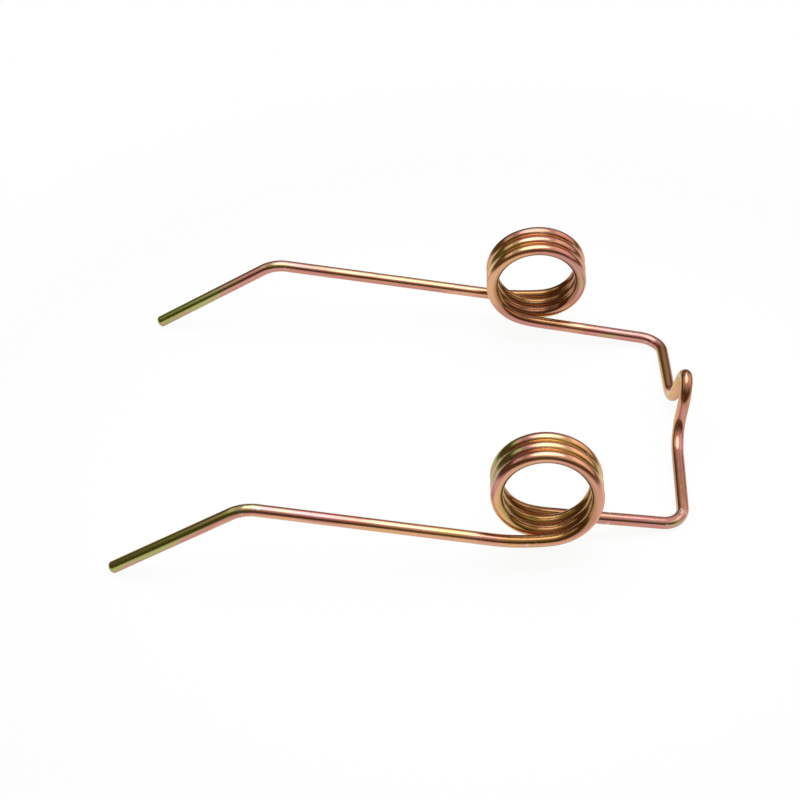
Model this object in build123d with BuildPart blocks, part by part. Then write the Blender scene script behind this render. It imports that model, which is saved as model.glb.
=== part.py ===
"""Double torsion spring bent from one length of round wire.

Two close coils stand side by side on a nearly common axis along Y.  From the outer end of each
coil a long leg runs to -X and bends down to a tip; from the inner end of each coil an arm runs
to +X to a square corner.  A bridge with a raised hump in its middle joins the two arms.
The spring is symmetric about the XZ plane and rests on its two tips and on the bridge.

Frame: millimetres, +Z up, origin at the middle of the length and width, on the resting plane.
"""
from build123d import *
from math import cos, radians, sin
import os

# Wire and coils
wire_diameter = 6.0
coil_inner_diameter = 40.5
coil_gap = 0.8  # clear space between neighbouring turns
coil_turns = 3  # full turns between the leaving points of the leg and of the arm
coil_spacing = 164.0  # between the middles of the two coils
coil_tilt = 4.2  # degrees by which each coil axis drops towards the middle

# Legs, straight and parallel to the middle plane, with their tips bent down
leg_rise = 10.9  # degrees over the resting plane, going away from the coil
leg_easing_radius = 100.0  # wide bend between the coil and the straight leg
leg_easing_turn = 16.2  # degrees taken by that bend
leg_length = 116.0  # from the wide bend to the vertex of the tip bend
tip_bend_angle = 40.5
tip_bend_radius = 19.0
tip_length = 76.3  # from the vertex of the tip bend to the end of the wire
tip_end_round = 1.5

# Arms
arm_drop = 10.0  # degrees under the resting plane, going away from the coil
arm_toe_in = 2.7  # degrees towards the middle plane
arm_easing_radius = 60.0  # wide bend between the coil and the straight arm
arm_easing_turn = 8.9
arm_length = 65.4  # from the wide bend to the vertex of the corner

# Bridge and hump, both in one plane square to the arms
corner_radius = 11.1
bridge_rise = 5.3  # degrees by which the bridge climbs from each corner to the hump
hump_height = 33.1  # from the corner up to the crown of the hump, on the centreline
hump_crown_radius = 5.5
hump_crown_turn = 38.8  # degrees taken by the tight crown on each side of the middle plane
hump_shoulder_radius = 14.3  # easier bend from the crown into each flank
hump_flank_angle = 12.8  # degrees between each flank and the height of the hump
hump_base_radius = 16.9

# Sizes that follow
wire_radius = wire_diameter / 2
coil_radius = (coil_inner_diameter + wire_diameter) / 2
coil_pitch = wire_diameter + coil_gap


def heading(slope, toe_in=0.0):
    """Unit vector along +X that climbs by slope and turns to +Y by toe_in, in degrees."""
    return Vector(1, 0, 0).rotate(Axis.Y, -slope).rotate(Axis.Z, toe_in)


def easing_arc(start, direction, new_direction, radius):
    """Arc that starts along one direction and ends along another."""
    turn = radians(direction.get_angle(new_direction))
    inward = (new_direction - direction * cos(turn)).normalized()
    end = start + (direction * sin(turn) + inward * (1 - cos(turn))) * radius
    return TangentArc(start, end, tangent=direction)


def climbing(angle):
    """Unit vector along +Y that climbs up the hump's plane by an angle in degrees."""
    return Vector(0, cos(radians(angle)), 0) + hump_direction * sin(radians(angle))


# Coil on the -Y side.  It starts and ends a few degrees from its lowest point, where the wide
# bends of the leg and of the arm take over.
leg_side_angle = leg_easing_turn - leg_rise
arm_side_angle = -arm_drop - arm_easing_turn
coil_degrees = 360 * coil_turns + arm_side_angle - leg_side_angle
coil_axis = Vector(0, 1, 0).rotate(Axis.X, -coil_tilt)
coil_middle = Vector(0, -coil_spacing / 2, 0)
lowest_radial = Vector(0, 0, -1).rotate(Axis.X, -coil_tilt)
coil_start_plane = Plane(
    origin=coil_middle + coil_axis * coil_pitch * (leg_side_angle / 360 - coil_turns / 2),
    x_dir=lowest_radial.rotate(Axis((0, 0, 0), coil_axis), -leg_side_angle),
    z_dir=coil_axis,
)
coil = coil_start_plane.location * Helix(
    coil_pitch, coil_pitch * coil_degrees / 360, coil_radius, lefthand=True
)

# Centreline of the whole wire
leg_direction = -heading(-leg_rise)
tip_direction = -heading(tip_bend_angle - leg_rise)
arm_direction = heading(-arm_drop, arm_toe_in)
hump_direction = heading(90 - arm_drop)
bridge_direction = climbing(bridge_rise)
shoulder_direction = -climbing(hump_crown_turn)
flank_direction = -climbing(90 - hump_flank_angle)

with BuildLine() as centreline:
    with BuildLine(mode=Mode.PRIVATE) as half:
        add(coil)
        leg_easing = easing_arc(coil @ 0, -(coil % 0), leg_direction, leg_easing_radius)
        tip_vertex = leg_easing @ 1 + leg_direction * leg_length
        tip_end = tip_vertex + tip_direction * tip_length
        FilletPolyline(leg_easing @ 1, tip_vertex, tip_end, radius=tip_bend_radius)

        arm_easing = easing_arc(coil @ 1, coil % 1, arm_direction, arm_easing_radius)
        corner = arm_easing @ 1 + arm_direction * arm_length
        crown_middle = Vector(corner.X, 0, corner.Z) + hump_direction * hump_height
        crown = easing_arc(crown_middle, Vector(0, -1, 0), shoulder_direction, hump_crown_radius)
        shoulder = easing_arc(crown @ 1, shoulder_direction, flank_direction, hump_shoulder_radius)
        base = Axis(shoulder @ 1, flank_direction).intersect(Axis(corner, bridge_direction))
        FilletPolyline(
            arm_easing @ 1, corner, base, shoulder @ 1, radius=(corner_radius, hump_base_radius)
        )
    add(half.line)
    mirror(half.line, about=Plane.XZ)

# Round wire along the centreline, from one tip to the other
with BuildPart() as spring_wire:
    with BuildSketch(Plane(origin=tip_end, z_dir=-tip_direction)) as section:
        Circle(wire_radius)
    sweep(path=Wire(centreline.edges()))
    wire_ends = spring_wire.faces().filter_by(GeomType.PLANE)
    fillet(wire_ends.edges(), radius=tip_end_round)

box = spring_wire.part.bounding_box()
spring = spring_wire.part.moved(Location((-box.center().X, 0, -box.min.Z)))
spring.label = "spring_wire"

os.makedirs("parts", exist_ok=True)
export_step(spring, "parts/spring_wire.step")
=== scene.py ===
"""Double torsion spring of round wire in yellow-passivated zinc: its looks and its studio."""
from math import cos, pi, radians, sin, tan

import bpy
import numpy as np
from bpy.props import FloatProperty, FloatVectorProperty, IntProperty, PointerProperty
from mathutils import Matrix, Vector
from mathutils.geometry import intersect_line_line


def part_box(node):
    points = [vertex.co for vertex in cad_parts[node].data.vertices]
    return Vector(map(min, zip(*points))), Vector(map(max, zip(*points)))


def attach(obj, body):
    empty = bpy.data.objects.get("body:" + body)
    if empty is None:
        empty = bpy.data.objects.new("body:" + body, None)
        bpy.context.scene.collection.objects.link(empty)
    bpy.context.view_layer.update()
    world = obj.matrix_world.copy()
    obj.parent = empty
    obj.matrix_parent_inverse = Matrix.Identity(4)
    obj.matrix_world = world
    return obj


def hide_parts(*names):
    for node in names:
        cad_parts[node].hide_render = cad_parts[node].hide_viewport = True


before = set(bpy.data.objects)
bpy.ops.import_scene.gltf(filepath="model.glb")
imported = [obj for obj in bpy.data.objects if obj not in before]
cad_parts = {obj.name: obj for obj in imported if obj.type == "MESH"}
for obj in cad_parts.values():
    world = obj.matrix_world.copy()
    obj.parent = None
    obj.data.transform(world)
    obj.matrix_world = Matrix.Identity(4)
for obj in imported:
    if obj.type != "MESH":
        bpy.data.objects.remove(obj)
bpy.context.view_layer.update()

bl_info = {
    "name": "Double Torsion Spring",
    "version": (1, 0, 0),
    "blender": (4, 5, 0),
    "location": "3D View > Sidebar > Spring",
    "description": "Bends a double torsion spring from round wire and lights it on a pale floor",
    "category": "Add Mesh",
}

NODE = "spring_wire"
BODY = "root"
PIECE = "spring_wire_surface"
MM = 0.001


def length(name, description, default_mm, **more):
    """A length property in metres from its size in millimetres."""
    return FloatProperty(name=name, description=description, default=default_mm * MM, min=0.0,
                         unit="LENGTH", subtype="DISTANCE", precision=4, **more)


def angle(name, description, default_degrees, **more):
    """An angle property in radians from its size in degrees."""
    return FloatProperty(name=name, description=description, default=radians(default_degrees),
                         unit="ROTATION", subtype="ANGLE", **more)


def colour(name, description, default):
    """A colour property in linear light."""
    return FloatVectorProperty(name=name, description=description, default=default, size=3,
                               min=0.0, max=1.0, subtype="COLOR")


def coordinates(name, description, default_mm):
    """Three lengths along X, Y and Z, in metres from millimetres."""
    return FloatVectorProperty(name=name, description=description, size=3, unit="LENGTH",
                               default=[value * MM for value in default_mm], precision=4,
                               subtype="TRANSLATION")


def number(name, description, default):
    """A plain number property."""
    return FloatProperty(name=name, description=description, default=default, precision=3)


class SpringShape(bpy.types.PropertyGroup):
    """Sizes of the bent wire."""
    wire_diameter: length("Wire diameter", "Diameter of the round wire", 6.0)
    coil_inner_diameter: length("Coil bore", "Inner diameter of both coils", 40.5)
    coil_gap: length("Coil gap", "Clear space between neighbouring turns", 0.8)
    coil_turns: IntProperty(name="Turns", description="Full turns in each coil", default=3, min=1)
    coil_spacing: length("Coil spacing", "Distance between the middles of the coils", 164.0)
    coil_tilt: angle("Coil tilt", "Drop of each coil axis towards the middle", 4.2)
    leg_rise: angle("Leg rise", "Climb of the legs away from the coils", 10.9)
    leg_easing_radius: length("Leg easing", "Radius of the wide bend at each leg", 100.0)
    leg_easing_turn: angle("Leg easing turn", "Angle taken by that wide bend", 16.2)
    leg_length: length("Leg length", "From the wide bend to the vertex of the tip bend", 116.0)
    tip_bend_angle: angle("Tip bend", "Angle of the tip bend", 40.5)
    tip_bend_radius: length("Tip bend radius", "Radius of the tip bend", 19.0)
    tip_length: length("Tip length", "From the vertex of the tip bend to the wire end", 76.3)
    tip_end_round: length("End round", "Rounding of the cut ends", 1.5)
    arm_drop: angle("Arm drop", "Fall of the arms away from the coils", 10.0)
    arm_toe_in: angle("Arm toe-in", "Turn of the arms towards the middle", 2.7)
    arm_easing_radius: length("Arm easing", "Radius of the wide bend at each arm", 60.0)
    arm_easing_turn: angle("Arm easing turn", "Angle taken by that wide bend", 8.9)
    arm_length: length("Arm length", "From the wide bend to the vertex of the corner", 65.4)
    corner_radius: length("Corner radius", "Radius of the two corners", 11.1)
    bridge_rise: angle("Bridge rise", "Climb of the bridge from each corner to the hump", 5.3)
    hump_height: length("Hump height", "From the corner up to the crown's centreline", 33.1)
    hump_crown_radius: length("Crown radius", "Radius of the tight crown of the hump", 5.5)
    hump_crown_turn: angle("Crown turn", "Angle taken by the crown on each side", 38.8)
    hump_shoulder_radius: length("Shoulder radius", "Radius from the crown into a flank", 14.3)
    hump_flank_angle: angle("Hump flank", "Angle between each flank and the hump's height", 12.8)
    hump_base_radius: length("Hump base radius", "Radius of the base bends", 16.9)
    ring_spacing: length("Ring spacing", "Distance between rings of the surface", 1.05)
    ring_points: IntProperty(name="Ring points", description="Points in each ring", default=48,
                             min=12)
    bench_ripple: length("Bench ripple", "Depth of the ripple left by winding and bending", 0.02)


class SpringFinish(bpy.types.PropertyGroup):
    """Colours and surface of the yellow-passivated zinc."""
    pale_gold: colour("Pale gold film", "Reflection where the film is thinnest", (0.77, 0.55, 0.21))
    gold: colour("Gold film", "Reflection of a thin film", (0.69, 0.39, 0.14))
    salmon: colour("Salmon film", "Reflection over most of the -Y leg", (0.70, 0.35, 0.22))
    rose: colour("Rose film", "Reflection over most of the wire", (0.53, 0.215, 0.14))
    pink: colour("Pink film", "Reflection between rose and green", (0.60, 0.24, 0.23))
    green: colour("Green film", "Reflection where the film is thickest", (0.38, 0.39, 0.11))
    rubbed: colour("Rubbed film", "Where tools and handling rubbed the film", (0.72, 0.66, 0.54))
    # Painted shade: this brown tone darkens the colour inside the coils and on the bridge
    painted_shade: colour("Painted shade", "Tone of the brown bloom inside the coils and on the bridge",
                  (0.50, 0.42, 0.22))
    rim_tint: colour("Rim tint", "Tint of the reflection at grazing angles", (0.80, 0.62, 0.46))
    roughness: FloatProperty(name="Roughness", description="Mean roughness of the plated wire",
                             default=0.21, min=0.0, max=1.0, subtype="FACTOR")
    clear_film: FloatProperty(name="Clear film", description="Strength of the clear outer film",
                              default=0.8, min=0.0, max=1.0, subtype="FACTOR")
    cloudiness: number("Cloudiness", "How far cloudy patches change the film", 0.95)
    streakiness: number("Streakiness", "How far streaks along the wire change the film", 0.20)


class SpringFilm(bpy.types.PropertyGroup):
    """Relative thickness of the passivation film: 0 shows pale gold and 1 shows green."""
    right: number("Right film", "On the -Y leg and coil", 0.44)
    left: number("Left film", "On the rest of the wire, from the -Y arm on", 0.56)
    right_end: number("Right end film", "At the -Y wire end", 0.94)
    left_end: number("Left end film", "At the +Y wire end", 0.86)
    green_end: length("Green end", "Reach of the end film along the top of the -Y tip", 98.0)
    left_reach: number("Left reach", "Reach along the top of the +Y tip, as a share of it", 0.86)
    under_reach: number("Under reach", "Reach under both tips, as a share of it", 0.56)
    sideways: number("Sideways", "Rise towards flanks that face along Y", 0.14)
    upwards: number("Upwards", "Rise from the side of the wire to its top", 0.12)
    leg_upwards: number("Leg upwards", "Further such rise on the -Y leg", 0.10)
    end_upwards: number("End upwards", "Further such rise within the end film", 0.08)
    leg_thinning: number("Leg thinning", "Fall on the inner half of the -Y leg", 0.12)
    leg_downwards: number("Leg downwards", "Fall towards the top on the inner +Y leg", 0.22)
    coil: number("Coil film", "Rise on the coils, outside their grooves", 0.10)
    groove: number("Groove film", "Fall in the grooves between the turns", 0.50)
    # Painted sheen on faces towards -Y: gold at their rims and pink in their middle
    front: number("Front film", "Rise from the rims to the middle of faces towards -Y", 0.22)
    front_tipward: number("Tipward front", "Fall of those faces towards -X", 0.38)
    front_right: number("Right front", "Fall of those faces on the -Y coil towards +X", 0.13)
    patch: number("Patch film", "In the thick patch on the -Y coil", 0.95)
    patch_middle: coordinates("Patch middle", "From the -Y coil's middle to the thick patch",
                              (-22.575, 2.0, 14.0))
    patch_reach: coordinates("Patch reach", "Reach of the thick patch", (21.0, 16.0, 22.0))
    hump: number("Hump film", "Rise on the hump", 0.10)
    bridge_outwards: number("Bridge outwards", "Rise towards the +X flank of the bridge", 0.10)
    bridge_inwards: number("Bridge inwards", "Fall towards the -X flank of the bridge", 0.30)
    bridge_thinning: number("Bridge thinning", "Fall on the crown and on the +Y side", 0.26)
    bridge_limit: number("Bridge limit", "Thickest film on the bridge and hump", 0.66)
    # Painted shade: how far the flat bridge and the crown are darkened towards brown
    bridge_painted_shade: number("Bridge painted shade", "Strength of the brown bloom on the bridge", 0.60)


class SpringStudio(bpy.types.PropertyGroup):
    """Floor, lights and camera."""
    floor: colour("Floor", "Colour of the pale floor", (0.93, 0.93, 0.93))
    floor_rim: colour("Floor rim", "Colour of the floor far from the spring", (0.22, 0.20, 0.17))
    sheet_middle: coordinates("Sheet middle", "Middle of the fully pale floor",
                              (35.0, -35.0, 0.0))
    sheet_radius: length("Sheet radius", "Radius within which the floor stays fully pale", 160.0)
    floor_reach: length("Floor reach", "From the middle of the floor to its sides", 12000.0)
    floor_glow: FloatProperty(name="Floor glow", description="Share of plain white in the floor",
                              default=0.92, min=0.0, max=1.0, subtype="FACTOR")
    reflected_glow: FloatProperty(name="Reflected glow", default=0.6, min=0.0, max=1.0,
                                  description="The same share for reflected rays",
                                  subtype="FACTOR")
    lamp_place: coordinates("Lamp place", "Middle of the overhead lamp", (50.0, 70.0, 1150.0))
    lamp_diameter: length("Lamp diameter", "Diameter of the overhead lamp", 1180.0)
    lamp_level: FloatProperty(name="Lamp level", description="Brightness of the overhead lamp",
                              default=2.1, min=0.0)
    lamp_tint: colour("Lamp tint", "Cool colour of the overhead lamp", (0.88, 0.95, 1.0))
    panel_place: coordinates("Panel place", "Middle of the side panel", (1850.0, 420.0, 950.0))
    panel_aim: coordinates("Panel aim", "What the side panel faces", (0.0, 420.0, 0.0))
    panel_width: length("Panel width", "Width of the side panel", 2600.0)
    panel_height: length("Panel height", "Height of the side panel", 1600.0)
    panel_level: FloatProperty(name="Panel level", description="Brightness of the side panel",
                               default=0.55, min=0.0)
    panel_tint: colour("Panel tint", "Warm colour of the side panel", (1.0, 0.78, 0.72))
    strip_place: coordinates("Strip place", "Middle of the strip lamp", (-1000.0, 100.0, 860.0))
    strip_aim: coordinates("Strip aim", "What the strip lamp faces", (-100.0, 100.0, 0.0))
    strip_width: length("Strip width", "Longer side of the strip lamp", 1400.0)
    strip_height: length("Strip height", "Shorter side of the strip lamp", 400.0)
    strip_level: FloatProperty(name="Strip level", description="Brightness of the strip lamp",
                               default=0.5, min=0.0)
    strip_tint: colour("Strip tint", "Colour of the strip lamp", (1.0, 1.0, 1.0))
    room: colour("Room", "Light of the dim warm room", (0.11, 0.08, 0.025))
    ceiling: colour("Ceiling", "Light of the room's pale ceiling", (0.78, 0.76, 0.72))
    view_aim: coordinates("View aim", "What the camera looks at", (-4.336, 0.0, 23.337))
    view_turn: angle("View turn", "Turn of the camera from the -Y side towards -X", 3.4766)
    view_height: angle("View height", "Angle of the camera over the floor", 40.3199)
    view_roll: angle("View roll", "Roll of the camera", -3.1828)
    view_distance: length("View distance", "Distance from the camera to its aim", 941.03)
    lens: FloatProperty(name="Lens", description="Focal length on a 36 mm sensor", default=84.353,
                        min=1.0, unit="CAMERA")


# ---------------------------------------------------------------- centreline of the wire

def turned(vector, axis, by):
    """The vector turned about an axis through the origin by an angle."""
    return Matrix.Rotation(by, 3, axis) @ vector


def heading(slope, toe_in=0.0):
    """Unit vector along +X that climbs by slope and then turns to +Y by toe_in."""
    return turned(turned(Vector((1, 0, 0)), "Y", -slope), "Z", toe_in)


def run(start, end, step):
    """Straight run: the start plus equal shares of the way to the end."""
    count = max(2, int((end - start).length / step) + 1)
    share = np.linspace(0.0, 1.0, count)[:, None]
    return np.array(start) + share * np.array(end - start)


def bend(start, direction, new_direction, radius, step):
    """Arc of one radius: the start plus radius times (sin of the turn along the old direction,
    and one less its cosine along the inward one), from no turn to the whole turn."""
    turn = direction.angle(new_direction)
    inward = (new_direction - direction * cos(turn)).normalized()
    turns = np.linspace(0.0, turn, max(4, int(turn * radius / step) + 1))[:, None]
    return (np.array(start) + radius * np.sin(turns) * np.array(direction)
            + radius * (1.0 - np.cos(turns)) * np.array(inward))


def rounded_runs(corners, radii, step):
    """Straight runs through the corners, with an arc of its own radius in each corner."""
    parts = []
    start = corners[0]
    for before, corner, after, radius in zip(corners, corners[1:], corners[2:], radii):
        arriving = (corner - before).normalized()
        leaving = (after - corner).normalized()
        tangent_length = radius * tan(arriving.angle(leaving) / 2)
        arc_start = corner - arriving * tangent_length
        parts += [run(start, arc_start, step), bend(arc_start, arriving, leaving, radius, step)]
        start = corner + leaving * tangent_length
    parts.append(run(start, corners[-1], step))
    return np.vstack(parts)


def half_wire(shape, step):
    """Centreline of the -Y half, from the tip to the top of the hump, and the coil's middle.

    The coil is a helix: a point at the coil radius goes round the tilted axis and moves along it
    by one pitch a turn.  It starts and ends a little off its lowest point, where a wide bend
    carries the wire on to the straight leg or arm."""
    radius = (shape.coil_inner_diameter + shape.wire_diameter) / 2
    pitch = shape.wire_diameter + shape.coil_gap
    middle = Vector((0, -shape.coil_spacing / 2, 0))
    first = shape.leg_easing_turn - shape.leg_rise
    last = 2 * pi * shape.coil_turns - shape.arm_drop - shape.arm_easing_turn
    tilt = Matrix.Rotation(-shape.coil_tilt, 3, "X")

    def coil_direction(by):
        flat = Vector((radius * cos(by), pitch / (2 * pi), radius * sin(by)))
        return tilt @ flat.normalized()

    by = np.linspace(first, last, int((last - first) * radius / step))
    along = pitch * (by / (2 * pi) - shape.coil_turns / 2)
    flat = np.stack([radius * np.sin(by), along, -radius * np.cos(by)], axis=1)
    coil = flat @ np.array(tilt).T + np.array(middle)

    leg_direction = -heading(-shape.leg_rise)
    tip_direction = -heading(shape.tip_bend_angle - shape.leg_rise)
    leg_easing = bend(Vector(coil[0]), -coil_direction(first), leg_direction,
                      shape.leg_easing_radius, step)
    leg_start = Vector(leg_easing[-1])
    tip_vertex = leg_start + leg_direction * shape.leg_length
    tip_end = tip_vertex + tip_direction * shape.tip_length
    leg = rounded_runs([leg_start, tip_vertex, tip_end], [shape.tip_bend_radius], step)

    arm_direction = heading(-shape.arm_drop, shape.arm_toe_in)
    hump_direction = heading(pi / 2 - shape.arm_drop)

    def climbing(by):
        return Vector((0, cos(by), 0)) + hump_direction * sin(by)

    arm_easing = bend(Vector(coil[-1]), coil_direction(last), arm_direction,
                      shape.arm_easing_radius, step)
    arm_start = Vector(arm_easing[-1])
    corner = arm_start + arm_direction * shape.arm_length
    shoulder_direction = -climbing(shape.hump_crown_turn)
    flank_direction = -climbing(pi / 2 - shape.hump_flank_angle)
    crown = bend(Vector((corner.x, 0, corner.z)) + hump_direction * shape.hump_height,
                 Vector((0, -1, 0)), shoulder_direction, shape.hump_crown_radius, step)
    shoulder = bend(Vector(crown[-1]), shoulder_direction, flank_direction,
                    shape.hump_shoulder_radius, step)
    flank_top = Vector(shoulder[-1])
    base = intersect_line_line(flank_top, flank_top + flank_direction,
                               corner, corner + climbing(shape.bridge_rise))[0]
    arm = rounded_runs([arm_start, corner, base, flank_top],
                       [shape.corner_radius, shape.hump_base_radius], step)
    arm = np.vstack([arm, shoulder[::-1], crown[::-1]])
    return np.vstack([leg[::-1], leg_easing[::-1], coil, arm_easing, arm]), middle


def whole_wire(shape):
    """Centreline of the whole wire at an even spacing, tip to tip, the distance along it at each
    point and the middle of the -Y coil, all on the place of the solid."""
    half, coil_middle = half_wire(shape, shape.ring_spacing / 5)
    line = np.vstack([half, half[::-1] * np.array([1.0, -1.0, 1.0])])
    steps = np.linalg.norm(np.diff(line, axis=0), axis=1)
    line = line[np.concatenate([[True], steps > 1e-7])]
    travelled = np.concatenate([[0.0], np.cumsum(np.linalg.norm(np.diff(line, axis=0), axis=1))])
    count = int(travelled[-1] / shape.ring_spacing) + 1
    even = np.linspace(0.0, travelled[-1], count)
    line = np.stack([np.interp(even, travelled, line[:, axis]) for axis in range(3)], axis=1)
    # The solid stands on the floor with its box centred on the origin, so the line goes there
    low, high = (np.array(corner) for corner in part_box(NODE))
    radius = shape.wire_diameter / 2
    shift = np.array([high[0] - radius - line[:, 0].max(), 0.0,
                      high[2] - radius - line[:, 2].max()])
    return line + shift, even, np.array(coil_middle) + shift


def side_frames(line):
    """Two directions square to the wire at each of its points, carried along without twist.

    A fixed diagonal, which the wire never follows, is made square to the wire.  It slowly turns
    about the wire, and that turn is summed and taken off again."""
    tangent = np.gradient(line, axis=0)
    tangent /= np.linalg.norm(tangent, axis=1)[:, None]
    diagonal = np.ones(3) / np.sqrt(3.0)
    first = diagonal - (tangent @ diagonal)[:, None] * tangent
    first /= np.linalg.norm(first, axis=1)[:, None]
    second = np.cross(tangent, first)
    change = np.einsum("ij,ij->i", np.diff(first, axis=0), (second[1:] + second[:-1]) / 2)
    twist = -np.concatenate([[0.0], np.cumsum(change)])[:, None]
    return (tangent, np.cos(twist) * first + np.sin(twist) * second,
            np.cos(twist) * second - np.sin(twist) * first)


# ---------------------------------------------------------------- surface of the wire

def swell(value, middle, width):
    """Smooth bump of height one: e to the minus square of the distance over the width."""
    return np.exp(-((value - middle) / width) ** 2)


def smooth_step(value, low, high):
    """Smooth change from 0 at low to 1 at high."""
    share = np.clip((value - low) / (high - low), 0.0, 1.0)
    return share * share * (3.0 - 2.0 * share)


def worked_share(line, spacing):
    """How hard each place of the wire was bent: its curvature against that of the coils."""
    coil_radius = 0.023
    hardest = 1.6
    tangent = np.gradient(line, axis=0) / spacing
    curvature = np.linalg.norm(np.gradient(tangent, axis=0) / spacing, axis=1)
    kernel = swell(np.arange(-12, 13), 0.0, 6.0)
    smooth = np.convolve(curvature, kernel / kernel.sum(), mode="same")
    return np.clip(smooth * coil_radius, 0.0, hardest)


def wire_surface(shape):
    """Grid of points on the wire: rings round the centreline, one row for each ring.

    Each point is the centreline plus its radius times cosine and sine of its angle along the two
    side directions.  The radius loses a shallow ripple where the wire was worked.  At each end
    the rings shrink along a quarter circle to the flat cut.  It also gives the outward normals,
    the direction of the wire, the distance along it and the work at each ring, the angles within
    a ring and the middle of the -Y coil."""
    line, along, coil_middle = whole_wire(shape)
    tangent, first, second = side_frames(line)
    worked = worked_share(line, shape.ring_spacing)
    radius = shape.wire_diameter / 2
    turn = np.arange(shape.ring_points) / shape.ring_points * 2 * pi

    # Rings of the rounded ends, placed by their distance from the cut and their radius
    end_rings = 7
    end_turn = np.linspace(0.0, pi / 2, end_rings)
    end_distance = shape.tip_end_round * (1 - np.cos(end_turn))
    end_radius = radius - shape.tip_end_round * (1 - np.sin(end_turn))
    clear = shape.tip_end_round + shape.ring_spacing / 2
    between = along[(along > clear) & (along < along[-1] - clear)]
    where = np.concatenate([end_distance, between, along[-1] - end_distance[::-1]])
    ring_radius = np.concatenate([end_radius, np.full(len(between), radius), end_radius[::-1]])

    def at(values):
        return np.stack([np.interp(where, along, values[:, axis])
                         for axis in range(values.shape[1])], axis=1)

    centre, side, other = at(line), at(first), at(second)
    work = np.interp(where, along, worked)
    # Two waves along the wire that sway round it, together from 0 to 1
    long_wave = np.sin(where[:, None] / 0.0047 + 1.7 * np.cos(turn + 0.6))
    short_wave = np.sin(where[:, None] / 0.0029 + 2.3 * np.sin(turn))
    ripple = (long_wave + short_wave + 2.0) / 4
    distance = ring_radius[:, None] - shape.bench_ripple * work[:, None] * ripple
    normals = (np.cos(turn)[None, :, None] * side[:, None]
               + np.sin(turn)[None, :, None] * other[:, None])
    points = centre[:, None] + distance[..., None] * normals
    return points, normals, at(tangent), where, turn, work, coil_middle


def grid_mesh(name, points):
    """Closed mesh of the grid: four-sided faces between neighbouring rings, going round and
    meeting themselves, and one flat face on each end ring."""
    rings, count = points.shape[:2]
    ring = np.arange(rings - 1)[:, None] * count
    here = np.arange(count)[None, :]
    after = (here + 1) % count
    quads = np.stack([ring + here, ring + after, ring + count + after, ring + count + here],
                     axis=-1).reshape(-1, 4)
    caps = [list(range(count))[::-1], list(range((rings - 1) * count, rings * count))]
    mesh = bpy.data.meshes.new(name)
    mesh.from_pydata(points.reshape(-1, 3), [], quads.tolist() + caps)
    mesh.validate()
    mesh.polygons.foreach_set("use_smooth", np.ones(len(mesh.polygons), dtype=bool))
    return mesh, quads


def film_along(where, normals, tangents, film):
    """Film thickness on the wire, before its coils and bridge get their own.

    It has one level on the -Y leg and coil and a higher one from the -Y arm on.  Each wire end
    has a thick film, which reaches further along the top of the wire than under it.  A few soft
    swells make it thinner or thicker, and it grows towards flanks that face along Y and, but for
    the inner +Y leg, towards the top."""
    # Places along the wire in metres: inner_leg from either end, left_arm from the +Y end and the
    # others from the -Y end
    inner_leg = 0.178
    right_coil = 0.35
    right_arm = 0.64
    right_corner = 0.72
    left_coil = 1.10
    left_arm = 0.695
    from_left = where[-1] - where
    right_half = where < where[-1] / 2
    up = normals[..., 2]
    level = film.right + (film.left - film.right) * smooth_step(where, right_arm, right_corner)
    end_level = np.where(right_half, film.right_end, film.left_end)

    def fading(reach):
        return np.exp(-(np.minimum(where, from_left) / reach) ** 4)[:, None]

    under = fading(film.under_reach * film.green_end)
    over = fading(film.green_end * np.where(right_half, 1.0, film.left_reach))
    at_end = under + (over - under) * smooth_step(up, -0.1, 0.6)

    along = level - 0.05 * swell(where, right_coil, 0.20) - 0.07 * swell(where, left_coil, 0.20)
    along = along - film.leg_thinning * swell(where, inner_leg, 0.040)
    along = along + 0.26 * swell(from_left, left_arm, 0.012)
    along = along + 0.20 * swell(where, right_corner, 0.006)
    sideways = normals[..., 1] ** 2 + tangents[:, 1:2] ** 2
    right_leg = smooth_step(-where, -0.26, -0.18)[:, None]
    left_leg = swell(from_left, inner_leg, 0.050)[:, None]
    rise = (film.upwards + film.leg_upwards * right_leg + film.end_upwards * at_end
            - film.leg_downwards * left_leg)
    return (along[:, None] + (end_level - level)[:, None] * at_end + 0.03 * left_leg
            + film.sideways * (sideways - 0.7) + rise * up)


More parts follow.
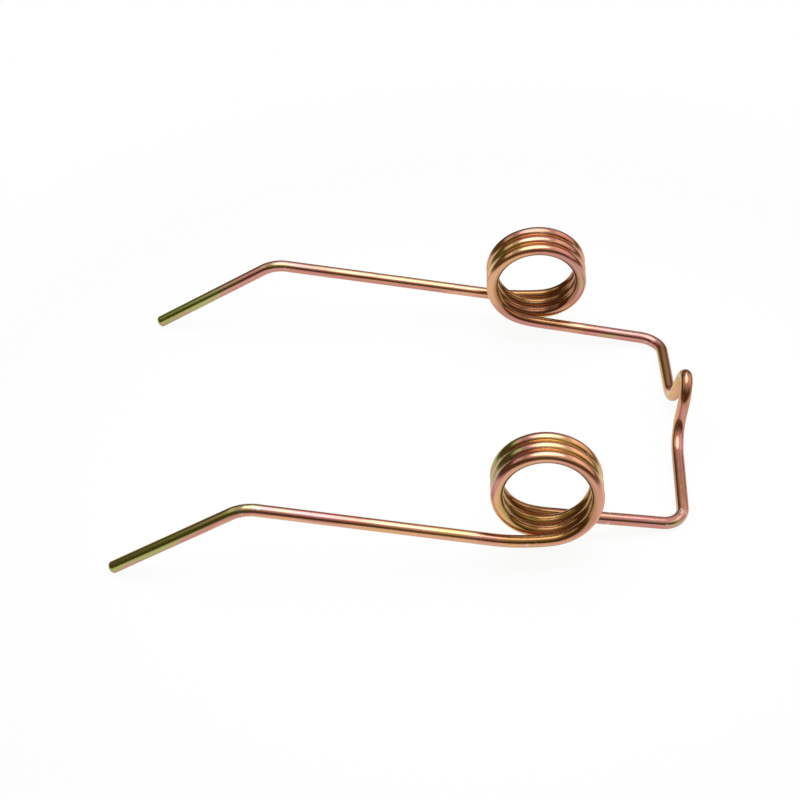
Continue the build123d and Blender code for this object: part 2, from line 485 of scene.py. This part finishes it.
def film_on_coils(thickness, points, normals, shape, film, coil_middle):
    """Film thickness with that of the coils, the share inside a coil, where the colour gets painted
    shade, and the rubbed contact.

    The film is thin in the grooves between the turns, and has a thick patch on the outer -X side of
    the -Y coil.  Over the faces towards -Y it changes: a painted sheen turns it from gold at their
    rims to pink in their middle, and it falls towards -X.  The contact is a narrow line on each
    side of a groove."""
    coil_radius = shape.coil_inner_diameter / 2 + shape.wire_diameter
    pitch = shape.wire_diameter + shape.coil_gap
    fading_off = 0.004
    from_axis = points - np.array([coil_middle[0], 0.0, coil_middle[2]])
    off_axis = np.hypot(from_axis[..., 0], from_axis[..., 2])
    on_coil = swell(np.maximum(off_axis - coil_radius, 0.0), 0.0, fading_off)
    side = np.sign(points[..., 1])
    right = side < 0
    inward = -((normals[..., 0] * from_axis[..., 0] + normals[..., 2] * from_axis[..., 2])
               / off_axis)
    # Share inside the coil, which the material darkens as painted shade
    inside = np.clip(1.6 * inward, 0.0, 1.0) * on_coil

    # Sides of a turn that face another turn: all but the outermost ones, with a smooth change
    # between 0.7 and 1.2 pitches from the middle of the coil
    depth = (np.abs(points[..., 1]) - np.abs(coil_middle[1])) / pitch
    outward = normals[..., 1] * side
    facing = (np.clip(outward, 0.0, 1.0) * smooth_step(-depth, -1.2, -0.7)
              + np.clip(-outward, 0.0, 1.0) * smooth_step(depth, -1.2, -0.7))
    thickness = thickness + (film.coil - film.groove * facing ** 2) * on_coil * (1.0 - inside)

    # Painted sheen: faces towards -Y go from gold at their rims to pink in their middle, the way
    # iridescence changes with the angle of view from -Y
    front = np.clip(-normals[..., 1], 0.0, 1.0)
    tipward = np.clip(-from_axis[..., 0] / off_axis, 0.0, 1.0)
    thickness = thickness + (film.front * on_coil * smooth_step(front, 0.0, 0.3)
                             * (front ** 2 - 0.7))
    thickness = thickness - on_coil * front * (film.front_tipward * tipward
                                               + film.front_right * right * (1.0 - tipward))

    patch = coil_middle + np.array(film.patch_middle)
    from_patch = np.linalg.norm((points - patch) / np.array(film.patch_reach), axis=-1)
    outer_band, band_edge = 0.004, 0.003
    outside = np.clip((off_axis - coil_radius + outer_band) / band_edge, 0.0, 1.0)
    patched = 0.9 * np.exp(-from_patch ** 4) * outside * right
    thickness = thickness + (film.patch - thickness) * patched
    contact = swell(facing, 0.80, 0.07) * on_coil * (1.0 - inside)
    return thickness, inside, contact


def film_on_bridge(thickness, where, normals, film):
    """Film thickness with that of the bridge, and the strength of the painted shade that darkens
    the bridge towards brown.

    The film is thicker on the hump and on the +X flank, and thinner on the -X flank, on the
    crown and on the +Y side of the bridge."""
    past_middle = (where - where[-1] / 2)[:, None]

    def near_middle(whole, none):
        """1 up to one distance from the middle of the wire and 0 from another one on."""
        return smooth_step(-np.abs(past_middle), -none, -whole)

    bridge = near_middle(0.070, 0.084)
    hump = near_middle(0.036, 0.048)
    crown = near_middle(0.008, 0.018)
    flat_left = bridge * (1.0 - hump) * (past_middle > 0.0)
    outward = normals[..., 0]
    thickness = thickness + (film.hump * hump + film.bridge_outwards * outward) * bridge
    thickness = thickness - film.bridge_inwards * bridge * np.clip(-outward, 0.0, 1.0)
    thickness = thickness - film.bridge_thinning * np.maximum(flat_left, crown)
    thickness = thickness + bridge * (np.minimum(thickness, film.bridge_limit) - thickness)
    # Painted shade on the flat bridge and on the crown
    return thickness, film.bridge_painted_shade * bridge * (1.0 - hump + crown)


def grip_marks(where):
    """Short stretches where the bending tools gripped the wire: at the tip bend, where the leg
    leaves the coil, on the arm and at the corner of the -Y half, and at the +Y tip bend."""
    tip_bend = 0.079
    return (swell(where, tip_bend, 0.008) + 0.8 * swell(where, 0.213, 0.012)
            + 1.2 * swell(where, 0.686, 0.005) + swell(where, 0.727, 0.007)
            + 0.7 * swell(where, where[-1] - tip_bend, 0.008))


def add_point_values(mesh, name, kind, values):
    """Store one value for each mesh point, as a named attribute."""
    field = "vector" if kind == "FLOAT_VECTOR" else "value"
    layer = mesh.attributes.new(name, kind, "POINT")
    layer.data.foreach_set(field, np.ascontiguousarray(values, dtype=np.float32).ravel())


def add_wire_map(mesh, quads, where, turn, shape):
    """UV map of the wire: length along the wire against the way round it."""
    count = len(turn)
    layer = mesh.uv_layers.new(name="wire_map")
    corners = np.zeros((len(mesh.loops), 2), dtype=np.float32)
    ring, place = np.divmod(quads, count)
    round_share = place / count
    wraps = (round_share.max(axis=1) - round_share.min(axis=1)) > 0.5
    round_share = np.where(wraps[:, None] & (round_share < 0.5), round_share + 1.0, round_share)
    used = quads.size
    corners[:used, 0] = (where[ring] / where[-1]).ravel()
    corners[:used, 1] = round_share.ravel()
    layer.data.foreach_set("uv", corners.ravel())


# ---------------------------------------------------------------- material

class Nodes:
    """Short way to add nodes and links to one node tree."""

    def __init__(self, tree):
        self.tree = tree

    def add(self, kind, inputs=None, **settings):
        """New node with its settings, whose inputs are values or sockets of other nodes."""
        node = self.tree.nodes.new(kind)
        for key, value in settings.items():
            setattr(node, key, value)
        for key, value in (inputs or {}).items():
            if isinstance(value, bpy.types.NodeSocket):
                self.tree.links.new(value, node.inputs[key])
            else:
                node.inputs[key].default_value = value
        return node

    def math(self, operation, *values, clamp=False):
        """Result of one Math node."""
        return self.add("ShaderNodeMath", dict(enumerate(values)), operation=operation,
                        use_clamp=clamp).outputs[0]

    def grain(self, position, across, along, detail, roughness=0.5, location=(0.0, 0.0, 0.0)):
        """Noise on the straightened wire, with its own scale across the wire and along it."""
        scaled = self.add("ShaderNodeMapping", {"Vector": position, "Location": location,
                                                "Scale": (across, across, along)})
        return self.add("ShaderNodeTexNoise", {"Vector": scaled.outputs["Vector"], "Scale": 1.0,
                                               "Detail": detail, "Roughness": roughness}
                        ).outputs["Fac"]

    def swing(self, value, middle, strength):
        """Strength times how far the value is over its middle."""
        return self.math("MULTIPLY", self.math("SUBTRACT", value, middle), strength)

    def span(self, value, low, high, to_low=0.0, to_high=1.0):
        """Value moved from one range to another by a smooth Map Range node."""
        return self.add("ShaderNodeMapRange", {"Value": value, "From Min": low, "From Max": high,
                                               "To Min": to_low, "To Max": to_high},
                        interpolation_type="SMOOTHSTEP").outputs["Result"]

    def mix(self, share, first, second, blend="MIX"):
        """Colour of one Mix node."""
        node = self.add("ShaderNodeMix", data_type="RGBA", blend_type=blend)
        for index, value in ((0, share), (6, first), (7, second)):
            if isinstance(value, bpy.types.NodeSocket):
                self.tree.links.new(value, node.inputs[index])
            else:
                node.inputs[index].default_value = value
        return node.outputs[2]


def opaque(rgb):
    """Colour with full alpha."""
    return (rgb[0], rgb[1], rgb[2], 1.0)


def film_colour(n, thickness, finish):
    """Colour of the film at a thickness: pale gold, gold, salmon, rose, pink and green."""
    ramp = n.add("ShaderNodeValToRGB", {"Fac": thickness})
    ramp.color_ramp.interpolation = "LINEAR"
    stops = ((0.02, finish.pale_gold), (0.22, finish.gold), (0.42, finish.salmon),
             (0.58, finish.rose), (0.74, finish.pink), (0.92, finish.green))
    elements = ramp.color_ramp.elements
    while len(elements) < len(stops):
        elements.new(0.5)
    for element, (position, tint) in zip(elements, stops):
        element.position = position
        element.color = opaque(tint)
    return ramp.outputs["Color"]


def bared_share(n, straight, worked, handled):
    """How far the film is bared: rubbed spots, which worked and handled places have more of, and
    sparse hair scratches, which follow one level of a stretched noise."""
    rub = n.grain(straight, 420.0, 240.0, detail=5.0, roughness=0.65, location=(0.3, 0.1, 0.7))
    rub_limit = n.math("SUBTRACT", 0.73, n.math("MULTIPLY", worked, 0.045))
    rub_limit = n.math("SUBTRACT", rub_limit, n.math("MULTIPLY", handled, 0.15))
    rubbed = n.span(n.math("SUBTRACT", rub, rub_limit), 0.0, 0.05)
    hair = n.grain(straight, 520.0, 70.0, detail=1.0, location=(2.1, 0.4, 1.9))
    off_hair = n.math("ABSOLUTE", n.math("SUBTRACT", hair, 0.5))
    hair_width = 0.012
    hair_line = n.math("SUBTRACT", 1.0, n.span(off_hair, 0.0, hair_width))
    sparse = n.span(n.grain(straight, 300.0, 90.0, detail=2.0, location=(5.0, 5.0, 5.0)),
                    0.60, 0.70)
    scratches = n.math("MULTIPLY", hair_line, sparse)
    return n.math("MAXIMUM", n.math("MULTIPLY", rubbed, 0.75), n.math("MULTIPLY", scratches, 0.5))


def passivated_zinc(finish):
    """Yellow-passivated zinc on drawn wire.

    The colour follows the thickness of the film, which cloudy patches and streaks along the wire
    break up.  Painted shade darkens it towards brown inside the coils and on the bridge, where the
    surface says so.  Fine drawing lines run along the wire, and rubbed spots and scratches bare a
    paler and rougher surface."""
    material = bpy.data.materials.new("yellow_passivated_zinc")
    material.use_nodes = True
    material.node_tree.nodes.clear()
    n = Nodes(material.node_tree)
    straight = n.add("ShaderNodeAttribute", attribute_name="straight_position").outputs["Vector"]
    film = n.add("ShaderNodeAttribute", attribute_name="film").outputs["Fac"]
    worked = n.add("ShaderNodeAttribute", attribute_name="worked").outputs["Fac"]
    painted_shade = n.add("ShaderNodeAttribute", attribute_name="painted_shade").outputs["Fac"]
    handled = n.add("ShaderNodeAttribute", attribute_name="handled").outputs["Fac"]
    clouds = n.grain(straight, 150.0, 30.0, detail=2.0)
    streaks = n.grain(straight, 700.0, 60.0, detail=2.0)
    lines = n.grain(straight, 1500.0, 25.0, detail=1.0)
    dents = n.grain(straight, 110.0, 55.0, detail=0.0, location=(1.3, 2.2, 0.4))
    bared = bared_share(n, straight, worked, handled)

    # Colour
    thickness = n.math("ADD", film, n.swing(clouds, 0.5, finish.cloudiness))
    thickness = n.math("ADD", thickness, n.swing(streaks, 0.5, finish.streakiness))
    tone = n.span(lines, 0.30, 0.70, 0.93, 1.04)
    tone = n.add("ShaderNodeCombineColor", {"Red": tone, "Green": tone, "Blue": tone}).outputs[0]
    tint = n.mix(1.0, film_colour(n, thickness, finish), tone, blend="MULTIPLY")
    # Painted shade: the colour darkens towards brown inside the coils and on the bridge
    tint = n.mix(painted_shade, tint, opaque(finish.painted_shade), blend="MULTIPLY")
    tint = n.mix(bared, tint, opaque(finish.rubbed))

    # Roughness, which the streaks change about its mean, and bump
    rough = n.math("ADD", finish.roughness - 0.05, n.math("MULTIPLY", streaks, 0.10))
    rough = n.math("ADD", rough, n.math("MULTIPLY", bared, 0.22), clamp=True)
    height = n.math("ADD", n.math("MULTIPLY", lines, 0.0004), n.math("MULTIPLY", dents, 0.004))
    height = n.math("SUBTRACT", height, n.math("MULTIPLY", bared, 0.0008))
    bump = n.add("ShaderNodeBump", {"Height": height, "Strength": 0.6, "Distance": 0.01})
    shader = n.add("ShaderNodeBsdfPrincipled", {
        "Base Color": tint, "Metallic": 1.0, "Roughness": rough,
        "Normal": bump.outputs["Normal"]})
    shader.inputs["Specular Tint"].default_value = opaque(finish.rim_tint)
    shader.inputs["Coat Weight"].default_value = finish.clear_film
    shader.inputs["Coat Roughness"].default_value = 0.12
    shader.inputs["Coat IOR"].default_value = 1.5
    n.add("ShaderNodeOutputMaterial", {"Surface": shader.outputs[0]})
    return material


def pale_floor(studio):
    """Plain pale floor that looks almost white and keeps a soft shadow.

    Seen and reflected rays find a share of plain white in it.  Away from the spring it gets dim
    for reflected rays and for its own light, so that reflections in the wire darken towards the
    horizon, and fully white for seen ones."""
    material = bpy.data.materials.new("pale_floor")
    material.use_nodes = True
    material.node_tree.nodes.clear()
    n = Nodes(material.node_tree)
    position = n.add("ShaderNodeTexCoord").outputs["Object"]
    distance = n.add("ShaderNodeVectorMath", {0: position, 1: studio.sheet_middle},
                     operation="DISTANCE").outputs["Value"]
    away = n.span(distance, studio.sheet_radius, 2.5 * studio.sheet_radius)
    path = n.add("ShaderNodeLightPath")
    seen = n.math("MULTIPLY", path.outputs["Is Camera Ray"],
                  n.math("MULTIPLY_ADD", away, 1.0 - studio.floor_glow, studio.floor_glow))
    reflected = n.math("MULTIPLY", path.outputs["Is Glossy Ray"],
                       n.math("MULTIPLY_ADD", away, -studio.reflected_glow, studio.reflected_glow))
    share = n.math("MAXIMUM", seen, reflected)
    pale = n.mix(away, opaque(studio.floor), opaque(studio.floor_rim))
    matt = n.add("ShaderNodeBsdfDiffuse", {"Color": pale})
    white = n.add("ShaderNodeEmission", {"Color": (1.0, 1.0, 1.0, 1.0), "Strength": 1.0})
    mixed = n.add("ShaderNodeMixShader", {0: share, 1: matt.outputs[0], 2: white.outputs[0]})
    n.add("ShaderNodeOutputMaterial", {"Surface": mixed.outputs[0]})
    return material


# ---------------------------------------------------------------- operators and panel

class SPRING_OT_wire(bpy.types.Operator):
    """Bend the wire and give it its plated finish"""
    bl_idname = "spring.wire"
    bl_label = "Bend Spring Wire"

    def execute(self, context):
        shape = context.scene.spring_shape
        finish = context.scene.spring_finish
        film = context.scene.spring_film
        points, normals, tangents, where, turn, work, coil_middle = wire_surface(shape)
        thickness = film_along(where, normals, tangents, film)
        thickness, inside, contact = film_on_coils(thickness, points, normals, shape, film,
                                                   coil_middle)
        thickness, bridge_painted_shade = film_on_bridge(thickness, where, normals, film)
        mesh, quads = grid_mesh(PIECE, points)
        radius = shape.wire_diameter / 2
        straight = np.stack([
            np.broadcast_to(radius * np.cos(turn)[None, :], points.shape[:2]),
            np.broadcast_to(radius * np.sin(turn)[None, :], points.shape[:2]),
            np.broadcast_to(where[:, None], points.shape[:2])], axis=-1)
        add_point_values(mesh, "straight_position", "FLOAT_VECTOR", straight)
        add_point_values(mesh, "worked", "FLOAT",
                         np.broadcast_to(work[:, None], points.shape[:2]))
        add_point_values(mesh, "film", "FLOAT", thickness)
        # Painted shade inside the coils and on the bridge
        add_point_values(mesh, "painted_shade", "FLOAT", np.maximum(inside, bridge_painted_shade))
        add_point_values(mesh, "handled", "FLOAT", contact + grip_marks(where)[:, None])
        add_wire_map(mesh, quads, where, turn, shape)
        mesh.materials.append(passivated_zinc(finish))
        piece = bpy.data.objects.new(PIECE, mesh)
        context.scene.collection.objects.link(piece)
        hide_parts(NODE)
        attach(piece, BODY)
        return {"FINISHED"}


class SPRING_OT_stage(bpy.types.Operator):
    """Lay the pale floor, hang the soft lights and set up the camera"""
    bl_idname = "spring.stage"
    bl_label = "Set Spring Stage"

    def execute(self, context):
        scene = context.scene
        studio = scene.spring_studio
        self.lay_floor(scene, studio)
        self.hang_lights(scene, studio)
        self.set_camera(scene, studio)
        scene.view_settings.view_transform = "Standard"
        return {"FINISHED"}

    def lay_floor(self, scene, studio):
        """A square of floor, wide enough to fill low views."""
        reach = studio.floor_reach
        corners = [(-reach, -reach, 0.0), (reach, -reach, 0.0), (reach, reach, 0.0),
                   (-reach, reach, 0.0)]
        mesh = bpy.data.meshes.new("floor")
        mesh.from_pydata(corners, [], [(0, 1, 2, 3)])
        mesh.materials.append(pale_floor(studio))
        floor = bpy.data.objects.new("floor", mesh)
        scene.collection.objects.link(floor)

    def hang_lights(self, scene, studio):
        """A round lamp overhead, a warm panel on the +X side, a strip lamp on the -X side and
        a dim room that gets paler towards its ceiling."""
        lamp_place = Vector(studio.lamp_place)
        self.add_lamp(scene, "overhead_lamp", "DISK", studio.lamp_diameter, studio.lamp_diameter,
                      studio.lamp_level, lamp_place, lamp_place - Vector((0, 0, 1)),
                      studio.lamp_tint)
        self.add_lamp(scene, "side_panel", "RECTANGLE", studio.panel_width, studio.panel_height,
                      studio.panel_level, Vector(studio.panel_place), Vector(studio.panel_aim),
                      studio.panel_tint)
        self.add_lamp(scene, "strip_lamp", "RECTANGLE", studio.strip_width, studio.strip_height,
                      studio.strip_level, Vector(studio.strip_place), Vector(studio.strip_aim),
                      studio.strip_tint)
        towards_ceiling = (0.20, 0.14, 1.0)
        room_edge = 0.28
        ceiling_edge = 0.90
        world = bpy.data.worlds.new("dim_room")
        world.use_nodes = True
        n = Nodes(world.node_tree)
        way = n.add("ShaderNodeTexCoord").outputs["Generated"]
        height = n.add("ShaderNodeVectorMath", {0: way, 1: towards_ceiling},
                       operation="DOT_PRODUCT").outputs["Value"]
        light = n.mix(n.span(height, room_edge, ceiling_edge), opaque(studio.room),
                      opaque(studio.ceiling))
        background = world.node_tree.nodes["Background"]
        world.node_tree.links.new(light, background.inputs["Color"])
        background.inputs["Strength"].default_value = 1.0
        scene.world = world

    def add_lamp(self, scene, name, shape, width, height, level, place, aim, tint):
        """Area lamp of an even brightness at a place, facing its aim."""
        lamp = bpy.data.lights.new(name, "AREA")
        lamp.shape = shape
        lamp.size = width
        lamp.size_y = height
        area = width * height * (pi / 4 if shape == "DISK" else 1.0)
        lamp.energy = level * 4 * area
        lamp.color = tint
        holder = bpy.data.objects.new(name, lamp)
        holder.location = place
        holder.rotation_euler = (aim - place).to_track_quat("-Z", "Y").to_euler()
        scene.collection.objects.link(holder)

    def set_camera(self, scene, studio):
        """The camera looks at its aim from the -Y side, from above and slightly rolled."""
        aim = Vector(studio.view_aim)
        level_forward = Vector((-sin(studio.view_turn), cos(studio.view_turn), 0.0))
        forward = level_forward * cos(studio.view_height) - Vector((0, 0, sin(studio.view_height)))
        right = level_forward.cross(Vector((0, 0, 1))).normalized()
        up = right.cross(forward)
        rolled_right = right * cos(studio.view_roll) + up * sin(studio.view_roll)
        rolled_up = up * cos(studio.view_roll) - right * sin(studio.view_roll)
        place = aim - forward * studio.view_distance
        axes = Matrix((rolled_right, rolled_up, -forward)).transposed()
        data = bpy.data.cameras.new("camera")
        data.sensor_width = 36.0
        data.lens = studio.lens
        data.clip_start = 0.01
        data.clip_end = 100.0
        camera = bpy.data.objects.new("camera", data)
        camera.matrix_world = Matrix.Translation(place) @ axes.to_4x4()
        scene.collection.objects.link(camera)
        scene.camera = camera


class SPRING_PT_panel(bpy.types.Panel):
    """Sizes, finish, film and studio of the spring"""
    bl_idname = "SPRING_PT_panel"
    bl_label = "Double Torsion Spring"
    bl_space_type = "VIEW_3D"
    bl_region_type = "UI"
    bl_category = "Spring"

    def draw(self, context):
        for group in (context.scene.spring_shape, context.scene.spring_finish,
                      context.scene.spring_film, context.scene.spring_studio):
            box = self.layout.box()
            for name in group.__annotations__:
                box.prop(group, name)
        self.layout.operator(SPRING_OT_wire.bl_idname)
        self.layout.operator(SPRING_OT_stage.bl_idname)


CLASSES = (SpringShape, SpringFinish, SpringFilm, SpringStudio, SPRING_OT_wire,
           SPRING_OT_stage, SPRING_PT_panel)


def register():
    for item in CLASSES:
        bpy.utils.register_class(item)
    bpy.types.Scene.spring_shape = PointerProperty(type=SpringShape)
    bpy.types.Scene.spring_finish = PointerProperty(type=SpringFinish)
    bpy.types.Scene.spring_film = PointerProperty(type=SpringFilm)
    bpy.types.Scene.spring_studio = PointerProperty(type=SpringStudio)


def unregister():
    del bpy.types.Scene.spring_studio
    del bpy.types.Scene.spring_film
    del bpy.types.Scene.spring_finish
    del bpy.types.Scene.spring_shape
    for item in reversed(CLASSES):
        bpy.utils.unregister_class(item)


def main():
    """Build the spring and its stage."""
    register()
    bpy.ops.spring.wire()
    bpy.ops.spring.stage()


if __name__ == "__main__":
    main()
